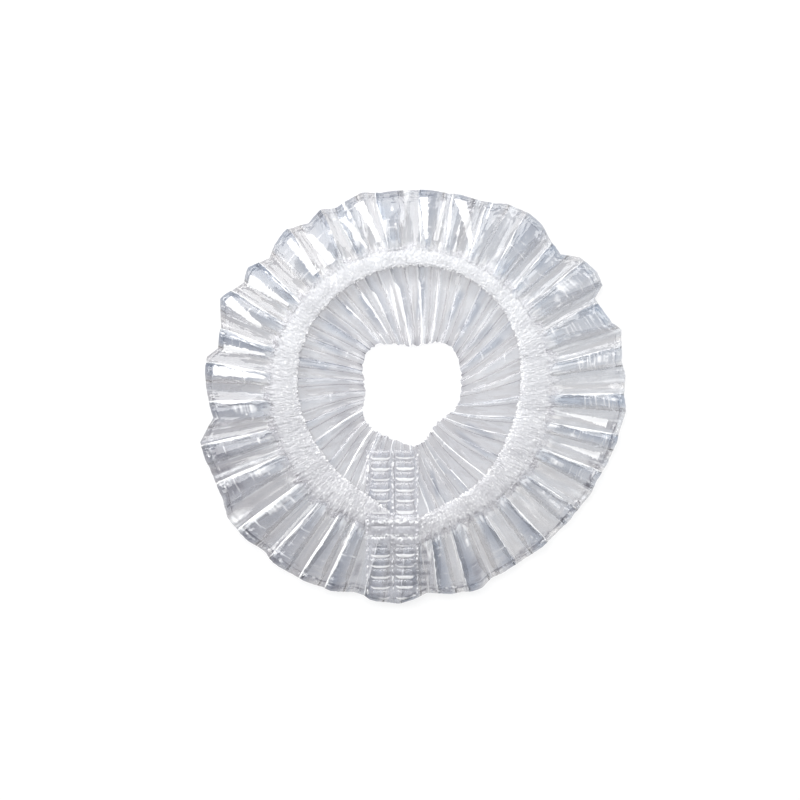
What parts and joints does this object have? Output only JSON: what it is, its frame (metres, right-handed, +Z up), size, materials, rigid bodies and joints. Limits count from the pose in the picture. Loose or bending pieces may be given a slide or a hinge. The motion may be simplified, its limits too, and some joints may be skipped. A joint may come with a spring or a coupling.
{
  "type": "shower cap",
  "caption": "Disposable shower cap of clear pleated film with a gathered elastic mouth that lifts and widens, a ladder-welded seam and a small hole in the gathered crown.",
  "frame": {"origin": "on the surface that the cap lies on, under the middle of its rim", "axes": "+Z up out of the mouth, -Y towards the welded seam, +X to the right with the seam nearest"},
  "size_m": [0.2721, 0.2648, 0.0153],
  "materials": {
    "film": "thin clear polyethylene film, glossy and crinkled",
    "weld": "heat-embossed film, hazier than the rest",
    "elastic": "thin white elastic, matt"
  },
  "bodies": {
    "crown": {"crown_film": "film", "seam_weld_crown": "weld"},
    "panel_01": {"pleat_panel_01": "film", "elastic_01": "elastic", "seam_weld_skirt": "weld"},
    "panel_02": {"pleat_panel_02": "film", "elastic_02": "elastic"},
    "panel_03": {"pleat_panel_03": "film", "elastic_03": "elastic"},
    "panel_04": {"pleat_panel_04": "film", "elastic_04": "elastic"},
    "panel_05": {"pleat_panel_05": "film", "elastic_05": "elastic"},
    "panel_06": {"pleat_panel_06": "film", "elastic_06": "elastic"},
    "panel_07": {"pleat_panel_07": "film", "elastic_07": "elastic"},
    "panel_08": {"pleat_panel_08": "film", "elastic_08": "elastic"},
    "panel_09": {"pleat_panel_09": "film", "elastic_09": "elastic"},
    "panel_10": {"pleat_panel_10": "film", "elastic_10": "elastic"},
    "panel_11": {"pleat_panel_11": "film", "elastic_11": "elastic"},
    "panel_12": {"pleat_panel_12": "film", "elastic_12": "elastic"},
    "panel_13": {"pleat_panel_13": "film", "elastic_13": "elastic"},
    "panel_14": {"pleat_panel_14": "film", "elastic_14": "elastic"},
    "panel_15": {"pleat_panel_15": "film", "elastic_15": "elastic"},
    "panel_16": {"pleat_panel_16": "film", "elastic_16": "elastic"},
    "panel_17": {"pleat_panel_17": "film", "elastic_17": "elastic"},
    "panel_18": {"pleat_panel_18": "film", "elastic_18": "elastic"}
  },
  "joints": [
    {"name": "mouth_open", "type": "hinge", "parent": "crown", "child": "panel_01", "pos_m": [-0.01509, -0.12293, 0.00922], "axis": [0.9925, -0.1219, 0], "range_deg": [0, 45], "stiffness_Nm_per_rad": 0.02},
    {"name": "panel_02_fold", "type": "hinge", "parent": "crown", "child": "panel_02", "pos_m": [0.02786, -0.12068, 0.00922], "axis": [0.9744, 0.225, 0], "range_deg": [0, 45], "stiffness_Nm_per_rad": 0.02},
    {"name": "panel_03_fold", "type": "hinge", "parent": "crown", "child": "panel_03", "pos_m": [0.06745, -0.10387, 0.00922], "axis": [0.8387, 0.5446, 0], "range_deg": [0, 45], "stiffness_Nm_per_rad": 0.02},
    {"name": "panel_04_fold", "type": "hinge", "parent": "crown", "child": "panel_04", "pos_m": [0.09891, -0.07454, 0.00922], "axis": [0.6018, 0.7986, 0], "range_deg": [0, 45], "stiffness_Nm_per_rad": 0.02},
    {"name": "panel_05_fold", "type": "hinge", "parent": "crown", "child": "panel_05", "pos_m": [0.11844, -0.03621, 0.00922], "axis": [0.2924, 0.9563, 0], "range_deg": [0, 45], "stiffness_Nm_per_rad": 0.02},
    {"name": "panel_06_fold", "type": "hinge", "parent": "crown", "child": "panel_06", "pos_m": [0.12368, 0.00648, 0.00922], "axis": [-0.0523, 0.9986, 0], "range_deg": [0, 45], "stiffness_Nm_per_rad": 0.02},
    {"name": "panel_07_fold", "type": "hinge", "parent": "crown", "child": "panel_07", "pos_m": [0.114, 0.04839, 0.00922], "axis": [-0.3907, 0.9205, 0], "range_deg": [0, 45], "stiffness_Nm_per_rad": 0.02},
    {"name": "panel_08_fold", "type": "hinge", "parent": "crown", "child": "panel_08", "pos_m": [0.09058, 0.08446, 0.00922], "axis": [-0.682, 0.7314, 0], "range_deg": [0, 45], "stiffness_Nm_per_rad": 0.02},
    {"name": "panel_09_fold", "type": "hinge", "parent": "crown", "child": "panel_09", "pos_m": [0.05623, 0.11035, 0.00922], "axis": [-0.891, 0.454, 0], "range_deg": [0, 45], "stiffness_Nm_per_rad": 0.02},
    {"name": "panel_10_fold", "type": "hinge", "parent": "crown", "child": "panel_10", "pos_m": [0.01509, 0.12293, 0.00922], "axis": [-0.9925, 0.1219, 0], "range_deg": [0, 45], "stiffness_Nm_per_rad": 0.02},
    {"name": "panel_11_fold", "type": "hinge", "parent": "crown", "child": "panel_11", "pos_m": [-0.02786, 0.12068, 0.00922], "axis": [-0.9744, -0.225, 0], "range_deg": [0, 45], "stiffness_Nm_per_rad": 0.02},
    {"name": "panel_12_fold", "type": "hinge", "parent": "crown", "child": "panel_12", "pos_m": [-0.06745, 0.10387, 0.00922], "axis": [-0.8387, -0.5446, 0], "range_deg": [0, 45], "stiffness_Nm_per_rad": 0.02},
    {"name": "panel_13_fold", "type": "hinge", "parent": "crown", "child": "panel_13", "pos_m": [-0.09891, 0.07454, 0.00922], "axis": [-0.6018, -0.7986, 0], "range_deg": [0, 45], "stiffness_Nm_per_rad": 0.02},
    {"name": "panel_14_fold", "type": "hinge", "parent": "crown", "child": "panel_14", "pos_m": [-0.11844, 0.03621, 0.00922], "axis": [-0.2924, -0.9563, 0], "range_deg": [0, 45], "stiffness_Nm_per_rad": 0.02},
    {"name": "panel_15_fold", "type": "hinge", "parent": "crown", "child": "panel_15", "pos_m": [-0.12368, -0.00648, 0.00922], "axis": [0.0523, -0.9986, 0], "range_deg": [0, 45], "stiffness_Nm_per_rad": 0.02},
    {"name": "panel_16_fold", "type": "hinge", "parent": "crown", "child": "panel_16", "pos_m": [-0.114, -0.04839, 0.00922], "axis": [0.3907, -0.9205, 0], "range_deg": [0, 45], "stiffness_Nm_per_rad": 0.02},
    {"name": "panel_17_fold", "type": "hinge", "parent": "crown", "child": "panel_17", "pos_m": [-0.09058, -0.08446, 0.00922], "axis": [0.682, -0.7314, 0], "range_deg": [0, 45], "stiffness_Nm_per_rad": 0.02},
    {"name": "panel_18_fold", "type": "hinge", "parent": "crown", "child": "panel_18", "pos_m": [-0.05623, -0.11035, 0.00922], "axis": [0.891, -0.454, 0], "range_deg": [0, 45], "stiffness_Nm_per_rad": 0.02}
  ],
  "couplings": [
    {"joint": "panel_02_fold", "follows": "mouth_open", "ratio": 1},
    {"joint": "panel_03_fold", "follows": "mouth_open", "ratio": 1},
    {"joint": "panel_04_fold", "follows": "mouth_open", "ratio": 1},
    {"joint": "panel_05_fold", "follows": "mouth_open", "ratio": 1},
    {"joint": "panel_06_fold", "follows": "mouth_open", "ratio": 1},
    {"joint": "panel_07_fold", "follows": "mouth_open", "ratio": 1},
    {"joint": "panel_08_fold", "follows": "mouth_open", "ratio": 1},
    {"joint": "panel_09_fold", "follows": "mouth_open", "ratio": 1},
    {"joint": "panel_10_fold", "follows": "mouth_open", "ratio": 1},
    {"joint": "panel_11_fold", "follows": "mouth_open", "ratio": 1},
    {"joint": "panel_12_fold", "follows": "mouth_open", "ratio": 1},
    {"joint": "panel_13_fold", "follows": "mouth_open", "ratio": 1},
    {"joint": "panel_14_fold", "follows": "mouth_open", "ratio": 1},
    {"joint": "panel_15_fold", "follows": "mouth_open", "ratio": 1},
    {"joint": "panel_16_fold", "follows": "mouth_open", "ratio": 1},
    {"joint": "panel_17_fold", "follows": "mouth_open", "ratio": 1},
    {"joint": "panel_18_fold", "follows": "mouth_open", "ratio": 1}
  ]
}
